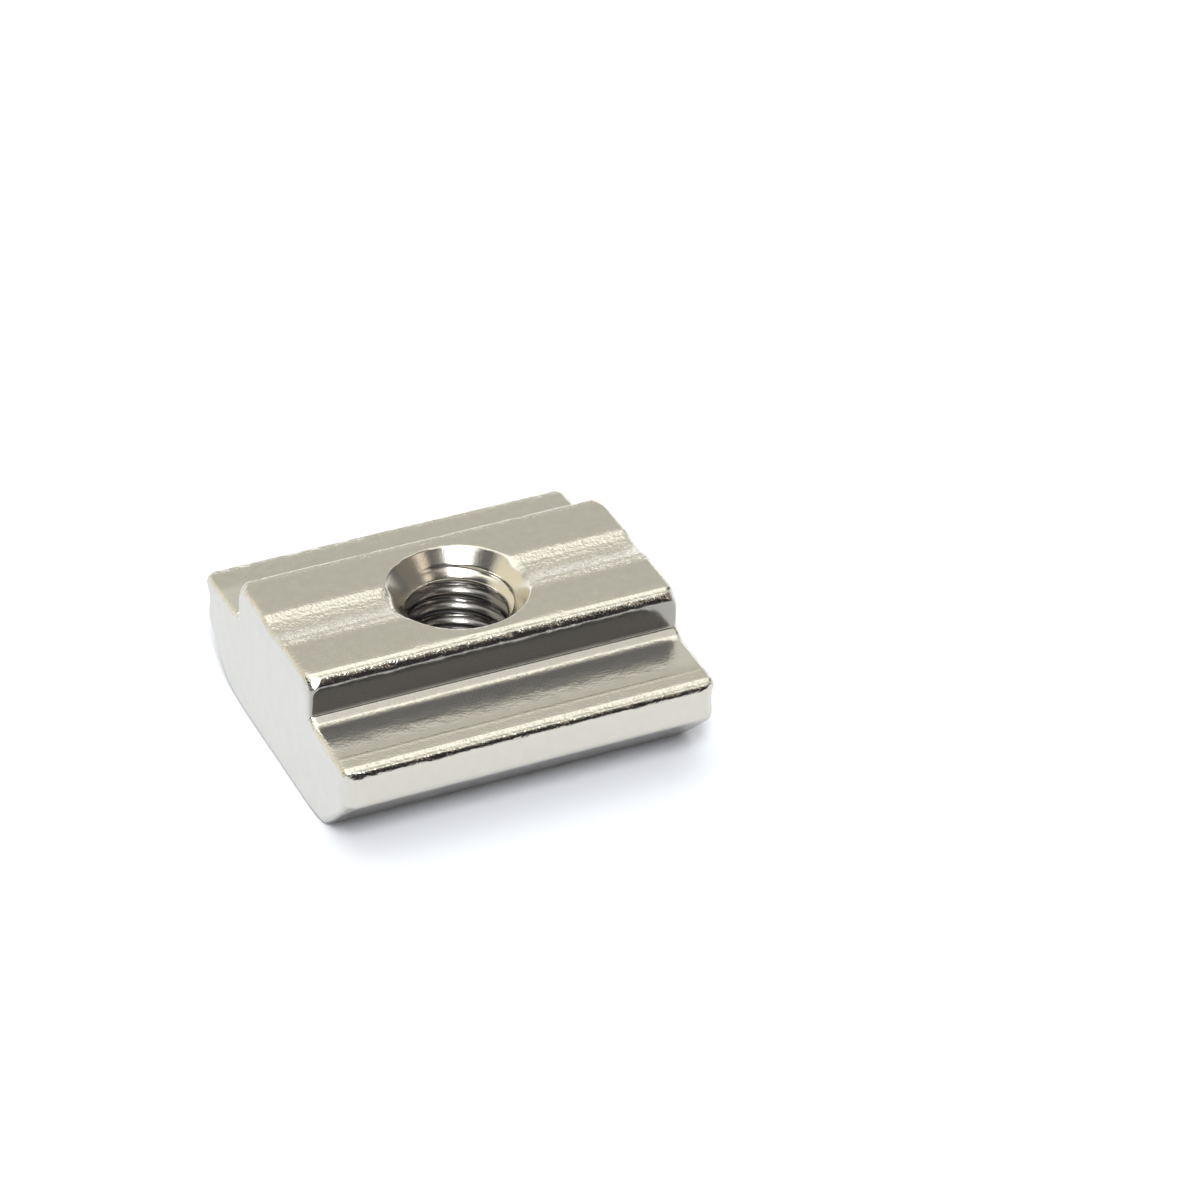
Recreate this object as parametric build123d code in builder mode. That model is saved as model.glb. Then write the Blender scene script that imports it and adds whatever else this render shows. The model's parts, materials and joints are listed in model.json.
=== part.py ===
"""Slide-in T-slot nut: an M5 thread in a short length of drawn steel bar.

The bar is a T lying on the head of the T: a wide body with bevelled undersides, which
fills the slot, and a narrower neck, which stands up between the slot's lips. The
nut is slid in from the slot's end and is drawn up against the lips by its screw.

Frame: origin in the middle of the underside, +X along the slot, +Y across it and
+Z up the screw, out of the slot. Millimetres.
"""

from build123d import *

import os
from math import radians, tan

# Section of the drawn bar
BODY_WIDTH = 16.0  # across the two flanges
FLANGE_HEIGHT = 4.5  # underside to the two clamping faces
NECK_WIDTH = 8.0  # the rib that lies between the slot's lips
NECK_RISE = 2.0  # clamping faces to the top of the neck
BEVEL_LEG = 2.6  # 45-degree bevel under each flange, both legs

# Shallow groove along the neck, which leads the tapping drill: it lies a little off the
# middle, and its flanks are lazy
GROOVE_OFFSET = 0.2  # middle of the neck to the middle of the groove
GROOVE_WIDTH = 1.9
GROOVE_DEPTH = 0.2
GROOVE_FLANK_ANGLE = 22.0  # flank above the floor of the groove

# Corners of the drawn section
FLANGE_CORNER_RADIUS = 0.45  # outer edge of each clamping face
NECK_CORNER_RADIUS = 0.5
BEVEL_CORNER_RADIUS = 0.9  # bevel to side wall
UNDERSIDE_CORNER_RADIUS = 0.6  # bevel to underside
ROOT_RADIUS = 0.5  # neck to clamping face
GROOVE_SHOULDER_RADIUS = 0.4
GROOVE_FLOOR_RADIUS = 0.25

# Cut to length and tumbled
NUT_LENGTH = 16.9
END_EDGE_RADIUS = 0.25  # all round both cut ends

# M5 x 0.8 thread: the hole is left at the tapping size, so its wall is the thread's crests
THREAD_DIAMETER = 5.0
THREAD_PITCH = 0.8
UPPER_COUNTERSINK_DIAMETER = 6.1
LOWER_COUNTERSINK_DIAMETER = 5.9
COUNTERSINK_ANGLE = 90.0
MOUTH_RADIUS = 0.25  # tumbled rim of both countersinks

# Two section points nearer than this are the same corner
SAME_PLACE = 0.001

tapping_diameter = THREAD_DIAMETER - THREAD_PITCH
nut_height = FLANGE_HEIGHT + NECK_RISE
groove_floor_height = nut_height - GROOVE_DEPTH
groove_flank_run = GROOVE_DEPTH / tan(radians(GROOVE_FLANK_ANGLE))
groove_floor_width = GROOVE_WIDTH - 2 * groove_flank_run


def matching_corners(outline, middle, out, up):
    """The two corners that stand `out` to each side of `middle`, `up` from the underside."""
    return [
        corner
        for corner in outline.vertices()
        if abs(abs(corner.X - middle) - out) < SAME_PLACE
        and abs(corner.Y - up) < SAME_PLACE
    ]


def is_tapping_circle(edge):
    """Whether the edge is where a countersink meets the tapped hole."""
    is_circle = edge.geom_type == GeomType.CIRCLE
    return is_circle and abs(edge.radius - tapping_diameter / 2) < SAME_PLACE


with BuildPart() as t_slot_nut:
    with BuildSketch(Plane.YZ) as section:
        with BuildLine():
            Polyline(
                (0, 0),
                (BODY_WIDTH / 2 - BEVEL_LEG, 0),
                (BODY_WIDTH / 2, BEVEL_LEG),
                (BODY_WIDTH / 2, FLANGE_HEIGHT),
                (NECK_WIDTH / 2, FLANGE_HEIGHT),
                (NECK_WIDTH / 2, nut_height),
                (0, nut_height),
            )
            mirror(about=Plane.YZ)
        make_face()
        with BuildLine():
            Polyline(
                (GROOVE_OFFSET + GROOVE_WIDTH / 2, nut_height),
                (GROOVE_OFFSET - GROOVE_WIDTH / 2, nut_height),
                (GROOVE_OFFSET - groove_floor_width / 2, groove_floor_height),
                (GROOVE_OFFSET + groove_floor_width / 2, groove_floor_height),
                close=True,
            )
        make_face(mode=Mode.SUBTRACT)
        rounded_corners = (
            (0, BODY_WIDTH / 2 - BEVEL_LEG, 0, UNDERSIDE_CORNER_RADIUS),
            (0, BODY_WIDTH / 2, BEVEL_LEG, BEVEL_CORNER_RADIUS),
            (0, BODY_WIDTH / 2, FLANGE_HEIGHT, FLANGE_CORNER_RADIUS),
            (0, NECK_WIDTH / 2, FLANGE_HEIGHT, ROOT_RADIUS),
            (0, NECK_WIDTH / 2, nut_height, NECK_CORNER_RADIUS),
            (GROOVE_OFFSET, GROOVE_WIDTH / 2, nut_height, GROOVE_SHOULDER_RADIUS),
            (GROOVE_OFFSET, groove_floor_width / 2, groove_floor_height, GROOVE_FLOOR_RADIUS),
        )
        for middle, out, up, radius in rounded_corners:
            fillet(matching_corners(section, middle, out, up), radius)
    extrude(amount=NUT_LENGTH / 2, both=True)

    # The two cut ends, rounded over by tumbling
    cut_ends = t_slot_nut.faces().filter_by(Axis.X)
    fillet(cut_ends.edges(), END_EDGE_RADIUS)

    # Tapped hole, countersunk from the neck and from the underside
    with Locations((0, 0, nut_height)):
        CounterSinkHole(
            radius=tapping_diameter / 2,
            counter_sink_radius=UPPER_COUNTERSINK_DIAMETER / 2,
            counter_sink_angle=COUNTERSINK_ANGLE,
        )
    with Locations(Plane.XY.rotated((180, 0, 0))):
        CounterSinkHole(
            radius=tapping_diameter / 2,
            counter_sink_radius=LOWER_COUNTERSINK_DIAMETER / 2,
            counter_sink_angle=COUNTERSINK_ANGLE,
        )

    # The mouths of both countersinks, softened by tumbling: the upper one runs down
    # into the groove and up again on each side
    mouth_edges = [
        edge
        for cone in t_slot_nut.faces().filter_by(GeomType.CONE)
        for edge in cone.edges()
        if edge.geom_type != GeomType.LINE and not is_tapping_circle(edge)
    ]
    fillet(mouth_edges, MOUTH_RADIUS)

t_slot_nut.part.label = "t_slot_nut"

os.makedirs("parts", exist_ok=True)
export_step(t_slot_nut.part, "parts/t_slot_nut.step")
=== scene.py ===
"""Looks of the slide-in nut for a profile slot: one length of drawn, nickel-plated steel.

The nut is a single closed mesh, worked out here with numpy: the drawn section carried
along the slot, its two cut ends, and the countersunk hole with its M5 thread. It takes
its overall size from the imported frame, stands for the CAD node, and stays inside that
node's box, because every crown, step and dent on it is taken inwards. Lengths are in
millimetres until the mesh is written, and angles are in degrees where a name says so.
"""

import itertools
import json
import logging
import math
from dataclasses import dataclass
from enum import IntEnum

import bpy
import numpy as np
from mathutils import Matrix, Vector


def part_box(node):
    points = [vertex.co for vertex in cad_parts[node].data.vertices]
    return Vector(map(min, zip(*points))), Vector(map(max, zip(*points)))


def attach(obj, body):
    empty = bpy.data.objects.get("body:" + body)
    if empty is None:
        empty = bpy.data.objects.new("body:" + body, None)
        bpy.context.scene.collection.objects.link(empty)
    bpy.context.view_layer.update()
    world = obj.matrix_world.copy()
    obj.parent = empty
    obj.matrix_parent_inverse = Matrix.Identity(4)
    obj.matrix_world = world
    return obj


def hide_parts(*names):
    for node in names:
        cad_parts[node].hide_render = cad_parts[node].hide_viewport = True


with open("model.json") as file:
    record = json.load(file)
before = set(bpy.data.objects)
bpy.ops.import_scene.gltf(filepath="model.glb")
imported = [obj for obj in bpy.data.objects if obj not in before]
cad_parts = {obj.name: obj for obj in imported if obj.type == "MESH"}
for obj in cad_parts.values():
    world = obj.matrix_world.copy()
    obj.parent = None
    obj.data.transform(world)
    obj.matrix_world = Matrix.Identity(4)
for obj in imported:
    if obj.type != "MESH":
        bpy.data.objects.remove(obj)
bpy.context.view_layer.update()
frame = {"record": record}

NODE = "t_slot_nut"
BODY = "root"
MM = 0.001
WORD = 0xFFFFFFFF  # 32 bits

LOG = logging.getLogger(NODE)


class Skin(IntEnum):
    """How a part of the surface was made, which is also its material's place on the mesh."""

    DRAWN = 0
    CUT_END = 1
    HOLE = 2


# ---------------------------------------------------------------- small mathematics


def smooth_step(low: float, high: float, value: np.ndarray) -> np.ndarray:
    """0 below low and 1 above high, and between them 3t^2 - 2t^3 of the way t."""
    t = np.clip((value - low) / (high - low), 0.0, 1.0)
    return t * t * (3.0 - 2.0 * t)


def bump(centre: float, half_width: float, value: np.ndarray) -> np.ndarray:
    """A bell: exp(-d^2), where d is the distance from centre in half widths."""
    return np.exp(-(((value - centre) / half_width) ** 2))


def soft_max(a: np.ndarray, b: np.ndarray, blend: float) -> np.ndarray:
    """The larger of two, rounded over where they differ by less than blend.

    The plain maximum is raised by h^2 blend / 4, where h falls from 1 to 0 as the two
    part by blend, so that the corner between them becomes a small arc.
    """
    h = np.clip(1.0 - np.abs(a - b) / blend, 0.0, 1.0)
    return np.maximum(a, b) + h * h * blend / 4.0


def lattice_height(corner: np.ndarray, seed: int) -> np.ndarray:
    """A height from -1 to 1 for each whole-numbered lattice corner, the same every run.

    The three coordinates and the seed are multiplied by large odd numbers, folded
    together with exclusive or, and stirred twice, which leaves no visible order.
    """
    x, y, z = (corner[..., axis] for axis in range(3))
    mixed = x * 73856093 ^ y * 19349663 ^ z * 83492791
    mixed = (mixed ^ (seed * 2654435761)) & WORD
    for _ in range(2):
        mixed = ((mixed ^ (mixed >> 15)) * 2246822519) & WORD
    return (mixed ^ (mixed >> 13)).astype(float) / (WORD // 2) - 1.0


def noise(points: np.ndarray, cell: tuple[float, float, float], seed: int) -> np.ndarray:
    """Value noise from -1 to 1: lattice heights joined by smooth steps along each axis.

    Args:
        points: places in millimetres, with x, y and z last.
        cell: lattice spacing along each axis, in millimetres.
        seed: which lattice to use.

    Returns:
        One height for each point.
    """
    scaled = points / np.array(cell)
    low = np.floor(scaled).astype(np.int64)
    t = smooth_step(0.0, 1.0, scaled - low)
    total = np.zeros(points.shape[:-1])
    for offset in itertools.product((0, 1), repeat=3):
        share = np.where(offset, t, 1.0 - t).prod(axis=-1)
        total += share * lattice_height(low + np.array(offset), seed)
    return total


def cut(height: np.ndarray) -> np.ndarray:
    """Noise from -1..1 to 0..1, because relief is only ever taken inwards."""
    return 0.5 + 0.5 * height


# ---------------------------------------------------------------- the drawn section


# the mesh's lines run straight along the bar to this distance on each side of its middle
GROOVE_REACH = 1.55


@dataclass(frozen=True)
class Roll:
    """One arc of a rounded edge: it turns the surface on to a tilt, with a radius."""

    tilt: float
    radius: float
    steps: int


def rolled_edge(rolls: tuple[Roll, ...]) -> np.ndarray:
    """A rounded edge from a flat top to an upright side, as offsets out and up.

    An arc that turns from tilt a to tilt b goes out by radius * (sin b - sin a) and
    down by radius * (cos a - cos b), and each arc starts where the last one ended.

    Args:
        rolls: the arcs in order, from tilt 0.

    Returns:
        Rows of distance out and up, without the starting point.
    """
    tilts, radii = [], []
    tilt = 0.0
    for roll in rolls:
        tilts.append(np.radians(np.linspace(tilt, roll.tilt, roll.steps + 1)))
        radii.append(roll.radius)
        tilt = roll.tilt
    out = [radius * np.diff(np.sin(t)) for t, radius in zip(tilts, radii)]
    up = [radius * np.diff(np.cos(t)) for t, radius in zip(tilts, radii)]
    return np.cumsum(np.column_stack([np.concatenate(out), np.concatenate(up)]), axis=0)


def rounded_path(
    start: tuple[float, float],
    corners: tuple[tuple[float, float, float, int, int], ...],
    end: tuple[float, float],
    last_steps: int,
) -> np.ndarray:
    """A path of straight runs joined by arcs.

    Each corner's arc starts and ends radius * tan(turn / 2) from it, and its points are
    the centre plus radius times a direction that turns evenly between the two runs.

    Args:
        start: first point.
        corners: out, up and radius of each corner, with the steps along the run before
            it and round its arc.
        end: last point.
        last_steps: steps along the run after the last corner.

    Returns:
        Points as rows of distance out and height, without the first.
    """
    spots = np.array([start, *(c[:2] for c in corners), end], float)
    rows = [spots[:1]]
    for i, (_, _, radius, run_steps, arc_steps) in enumerate(corners, 1):
        into = spots[i] - spots[i - 1]
        away = spots[i + 1] - spots[i]
        into /= np.linalg.norm(into)
        away /= np.linalg.norm(away)
        turn = math.atan2(into[0] * away[1] - into[1] * away[0], into @ away)
        first = spots[i] - into * radius * math.tan(abs(turn) / 2.0)
        arm = -math.copysign(radius, turn) * np.array([-into[1], into[0]])
        angle = np.linspace(0.0, turn, arc_steps + 1)[1:, None]
        quarter = np.array([-arm[1], arm[0]])
        arc = first - arm + arm * np.cos(angle) + quarter * np.sin(angle)
        rows += [np.linspace(rows[-1][-1], first, run_steps + 1)[1:], arc]
    rows.append(np.linspace(rows[-1][-1], spots[-1], last_steps + 1)[1:])
    return np.vstack(rows)[1:]


@dataclass(frozen=True)
class Edges:
    """The upper edges of one side of the bar.

    Each is rolled over in arcs. Where step_drop isn't 0 the surface also drops a shade
    just inside the edge, which draws a bright line beside it, and line_height is the
    height of the burnished line that the die left along the flange.
    """

    neck: tuple[Roll, ...]
    flange: tuple[Roll, ...]
    step_drop: float
    line_height: float


FRONT_EDGES = Edges(
    neck=(
        Roll(8, 0.3, 2), Roll(45, 0.22, 6), Roll(67, 0.78, 6), Roll(84, 0.1, 4), Roll(90, 3.5, 4),
    ),
    flange=(Roll(8, 0.2, 2), Roll(45, 0.1, 5), Roll(69, 0.5, 5), Roll(90, 0.4, 3)),
    step_drop=0.055,
    line_height=0.013,
)
BACK_EDGES = Edges(
    neck=(Roll(8, 0.2, 3), Roll(18, 0.05, 3), Roll(40, 0.35, 7), Roll(90, 0.26, 9)),
    flange=(Roll(40, 0.24, 8), Roll(90, 0.26, 7)),
    step_drop=0.0,
    line_height=0.0,
)


@dataclass(frozen=True)
class Section:
    """The drawn T, lying on the head of the T, with its bevels and its drill groove.

    The window is half the width of the square that the hole's rings run in from.
    """

    body_width: float
    height: float
    flange_height: float = 4.5
    neck_width: float = 8.0
    window: float = 3.5
    bevel_leg: float = 2.67
    bevel_corner: float = 0.6
    underside_corner: float = 0.9
    front: Edges = FRONT_EDGES
    back: Edges = BACK_EDGES
    neck_step: tuple[float, float] = (3.38, 3.62)
    flange_step: tuple[float, float] = (7.49, 7.67)
    # the root turns in tightly from the wall, runs down a slope and eases out over the flange
    root_turns: tuple[tuple[float, float], ...] = ((28.0, 0.13), (0.0, 1.0))
    root_slope: float = 0.2
    # the groove's back flank falls in stages of (share of the depth, from, to), its front lazily
    groove_depth: float = 0.16
    groove_back: tuple[tuple[float, float, float], ...] = (
        (0.46, 1.22, 0.93), (0.36, 0.98, 0.66), (0.18, 0.66, 0.32),
    )
    groove_front: tuple[float, float] = (-0.02, -0.76)
    # burnished lines left along the bar by the die
    line_width: float = 0.05
    line_height: float = 0.013
    neck_line: float = -1.0
    flange_line: float = 6.84
    neck_crown: float = 0.01
    # a flange is highest at this share of the way out from the neck, and falls to its edge
    flange_crown: float = 0.07
    flange_crest: float = 0.05

    @property
    def neck_half(self) -> float:
        """Middle to the neck's side wall."""
        return self.neck_width / 2.0

    @property
    def half(self) -> float:
        """Middle to the body's side wall."""
        return self.body_width / 2.0

    def top(self, y: np.ndarray) -> np.ndarray:
        """Height of the neck's top: flat, less the groove, the crown and the edge steps.

        The groove's back flank falls by smooth steps, each with its own share of the
        depth, and its front flank is mostly a straight ramp.
        """
        back = sum(share * smooth_step(-high, -low, -y) for share, high, low in self.groove_back)
        foot, shoulder = self.groove_front
        ramp = np.clip((y - shoulder) / (foot - shoulder), 0.0, 1.0)
        front = 0.8 * ramp + 0.2 * smooth_step(shoulder, foot, y)
        line = self.line_height * (1.0 - bump(self.neck_line, self.line_width, y))
        crown = self.neck_crown * (y / self.neck_half) ** 2
        step = self.front.step_drop * smooth_step(*self.neck_step, -y)
        step += self.back.step_drop * smooth_step(*self.neck_step, y)
        return self.height - self.groove_depth * back * front - line - crown - step

    def flange_top(self, out: np.ndarray, edges: Edges) -> np.ndarray:
        """Height of one side's flange, by distance from the middle of the bar."""
        crest = self.neck_half + self.flange_crest * (self.half - self.neck_half)
        crown = self.flange_crown * ((out - crest) / (self.half - crest)) ** 2
        step = edges.step_drop * smooth_step(*self.flange_step, out)
        line = edges.line_height * (1.0 - bump(self.flange_line, self.line_width, out))
        return self.flange_height - crown - step - line

    def window_steps(self) -> np.ndarray:
        """The window's points across the bar, from +window to -window, closest at the groove."""
        line = self.neck_line + self.line_width * np.array([2.4, 1.0, 0.5, 0.0, -0.5, -1.0, -2.4])
        inner = np.linspace(GROOVE_REACH, line[0], 38)[:-1]
        inner = np.concatenate([inner, line, np.linspace(line[-1], -GROOVE_REACH, 6)[1:]])
        fine = np.linspace(self.window, self.neck_step[0], 4)[:-1]
        outer = np.linspace(self.neck_step[0], GROOVE_REACH, 8)[:-1]
        outer = np.concatenate([fine, outer])
        return np.concatenate([outer, inner, -outer[::-1]])

    def side(self, edges: Edges, sign: float) -> np.ndarray:
        """One side, from the neck's top down to the underside, both at the window.

        Args:
            edges: the side's upper edges.
            sign: 1 for the side at +Y, -1 for the side at -Y.

        Returns:
            Rows of distance from the middle and height.
        """
        neck, flange = rolled_edge(edges.neck), rolled_edge(edges.flange)
        run = np.linspace(self.window, self.neck_half - neck[-1, 0], 4)
        start = np.column_stack([run, self.top(sign * run)])
        neck += start[-1]
        (slant, tight), (_, easy) = self.root_turns
        turn = np.radians(np.linspace(90.0, slant, 8))
        corner = tight * np.column_stack([1.0 - np.sin(turn), -np.cos(turn)])
        turn = np.radians(np.linspace(slant, 0.0, 8))
        down = np.array([np.cos(turn[0]), -np.sin(turn[0])])
        slope = corner[-1] + self.root_slope * np.array([[0.5], [1.0]]) * down
        ease = easy * np.column_stack([-down[1] - np.sin(turn), down[0] - np.cos(turn)])
        root = np.vstack([corner, slope, slope[-1] + ease[1:]])
        foot = self.flange_top(self.neck_half + root[-1:, 0], edges)[0]
        root += (self.neck_half, foot - root[-1, 1])
        wall = np.linspace(neck[-1, 1], root[0, 1], 8)[1:, None]
        wall = np.hstack([np.full_like(wall, self.neck_half), wall])
        out = np.linspace(root[-1, 0], self.half - flange[-1, 0], 45)[1:]
        ledge = np.column_stack([out, self.flange_top(out, edges)])
        flange += ledge[-1]
        lower = rounded_path(tuple(flange[-1]), (
            (self.half, self.bevel_leg, self.bevel_corner, 7, 7),
            (self.half - self.bevel_leg, 0.0, self.underside_corner, 22, 5),
        ), (self.window, 0.0), 4)
        return np.vstack([start, neck, wall, root[1:], ledge, flange, lower])

    def outline(self) -> np.ndarray:
        """The closed section, counter-clockwise from +X, from the neck's +Y window edge."""
        across = self.window_steps()
        left, right = self.side(self.back, 1.0)[1:-1], self.side(self.front, -1.0)[1:-1]
        top = np.column_stack([across, self.top(across)])
        bottom = np.column_stack([-across, np.zeros_like(across)])
        return np.vstack([top, right * (-1.0, 1.0), bottom, left[::-1]])


def outward(outline: np.ndarray) -> np.ndarray:
    """Unit normals of a closed counter-clockwise outline: its chords turned a quarter outwards."""
    chord = np.roll(outline, -1, axis=0) - np.roll(outline, 1, axis=0)
    normal = np.column_stack([chord[:, 1], -chord[:, 0]])
    return normal / np.linalg.norm(normal, axis=1, keepdims=True)


def spread(outline: np.ndarray, values: np.ndarray, reach: float) -> np.ndarray:
    """Values averaged along the closed outline, with a bell of width reach."""
    chord = np.linalg.norm(np.roll(outline, -1, axis=0) - outline, axis=1)
    place = np.concatenate([[0.0], np.cumsum(chord)[:-1]])
    total = chord.sum()
    gap = np.abs(place[:, None] - place[None, :])
    gap = np.minimum(gap, total - gap)
    weight = np.exp(-((gap / reach) ** 2)) * (chord + np.roll(chord, 1))[None, :]
    return weight @ values / weight.sum(axis=1, keepdims=True)


def spread_normals(outline: np.ndarray, normal: np.ndarray, reach: float) -> np.ndarray:
    """Normals averaged along the outline and made unit again.

    Points moved in along them stay in order, even round an edge tighter than the move.
    """
    mean = spread(outline, normal, reach)
    return mean / np.linalg.norm(mean, axis=1, keepdims=True)


# ---------------------------------------------------------------- the tapped hole


@dataclass(frozen=True)
class TappedHole:
    """An M5 x 0.8 right-hand thread between two countersinks.

    The upper cone is turned a shade steeper than a right angle, and cone_slope is the
    tangent of half its angle. The lower cone's is 1.
    """

    crest: float
    top: float
    major: float = 5.0
    pitch: float = 0.8
    upper_mouth: float = 6.2
    lower_mouth: float = 5.9
    cone_slope: float = 0.88
    rim_blend: float = 0.004
    groove_rim_blend: float = 0.4
    lower_rim_blend: float = 0.15
    rim_nick: float = 0.02
    crest_blend: float = 0.12
    crest_wear: float = 0.02
    root_flat: float = 0.04
    start_height: float = 5.62
    throat_gap: float = 0.12

    @property
    def throat(self) -> float:
        """Radius on both cones, just outside the thread, where flat grids give way to the wall."""
        return self.major / 2.0 + self.throat_gap

    def thread(self, angle: np.ndarray, z: np.ndarray) -> np.ndarray:
        """Wall radius of the thread alone.

        The distance up the axis from the nearest root is found by taking the helix's
        rise, one pitch a turn, off the height and folding what is left into one pitch.
        From there the wall rises from a narrow root as u (2 - u), with u from 0 to 1:
        steep flanks that round over into the crest.
        """
        turn = (z - self.start_height) / self.pitch - angle / (2.0 * math.pi)
        away = np.abs(turn - np.round(turn)) * self.pitch
        u = np.clip((away - self.root_flat / 2.0) / (self.pitch - self.root_flat) * 2.0, 0.0, 1.0)
        share = u * (2.0 - u)
        depth = self.major / 2.0 - self.crest - self.crest_wear
        return self.major / 2.0 - depth * share

    def upper_cone(self, z: np.ndarray) -> np.ndarray:
        """Radius of the upper cone, which falls by cone_slope for each millimetre down."""
        return self.upper_mouth / 2.0 - (self.top - z) * self.cone_slope

    def lower_cone(self, z: np.ndarray) -> np.ndarray:
        """Radius of the lower cone."""
        return self.lower_mouth / 2.0 - z

    def wall(self, angle: np.ndarray, z: np.ndarray) -> np.ndarray:
        """Radius of the finished wall: the largest of the thread and the two cones."""
        wall = soft_max(self.thread(angle, z), self.upper_cone(z), self.crest_blend)
        return soft_max(wall, self.lower_cone(z), self.crest_blend)


# ---------------------------------------------------------------- relief


@dataclass(frozen=True)
class Wear:
    """Depth of what tumbling, plating and the cut left in the surface, in millimetres."""

    edge_nick: float = 0.045
    edge_ripple: float = 0.014
    peel: float = 0.022
    groove_scar: float = 0.022
    wave: float = 0.008
    blotch: float = 0.01
    cut_wave: float = 0.012
    cut_pit: float = 0.03

    def skin(
        self,
        p: np.ndarray,
        edge: np.ndarray,
        peel: np.ndarray,
        groove: np.ndarray,
        matt: np.ndarray,
    ) -> np.ndarray:
        """Depth on the drawn surface: long waves, and on each kind of strip its own marks.

        Args:
            p: places in millimetres.
            edge: 1 on a rounded upper edge, falling to 0 beside it.
            peel: 1 on the coarse bevels.
            groove: 1 in the drill groove.
            matt: 1 in the corner between neck and flange.

        Returns:
            A depth of at least 0 for each place.
        """
        depth = self.wave * cut(noise(p, (2.6, 2.2, 2.4), 1))
        nicks = np.maximum(noise(p, (0.42, 0.3, 0.3), 2) - 0.15, 0.0) ** 1.5
        ripples = cut(noise(p, (0.24, 0.16, 0.16), 3))
        depth += edge * (self.edge_nick * nicks + self.edge_ripple * ripples)
        # weight, depth, share of the coarse noise, and the coarse and fine noise's cell and seed
        for weight, full, coarse, (large, large_seed), (small, small_seed) in (
            (peel, self.peel, 0.65, ((0.62, 0.5, 0.5), 4), ((0.3, 0.26, 0.26), 5)),
            (groove, self.groove_scar, 0.6, ((0.55, 0.14, 0.3), 6), ((0.2, 0.1, 0.2), 7)),
            (matt, self.blotch, 0.6, ((0.45, 0.3, 0.3), 10), ((0.24, 0.2, 0.2), 12)),
        ):
            marks = coarse * cut(noise(p, large, large_seed))
            marks += (1.0 - coarse) * cut(noise(p, small, small_seed))
            depth += weight * full * marks
        return depth

    def cut_end(self, p: np.ndarray) -> np.ndarray:
        """Depth on a cut end: slow waves with a few pits where the noise passes a threshold."""
        waves = self.cut_wave * cut(noise(p, (1.0, 1.5, 1.1), 8))
        pits = self.cut_pit * np.maximum(noise(p, (0.5, 0.34, 0.34), 9) - 0.62, 0.0)
        return waves + pits


# ---------------------------------------------------------------- the nut


@dataclass(frozen=True)
class Dint:
    """A corner at -X and -Y knocked flat: which way the flat looks, how deep, and its heights."""

    way: tuple[float, float, float]
    depth: float
    low: float
    high: float


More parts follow.
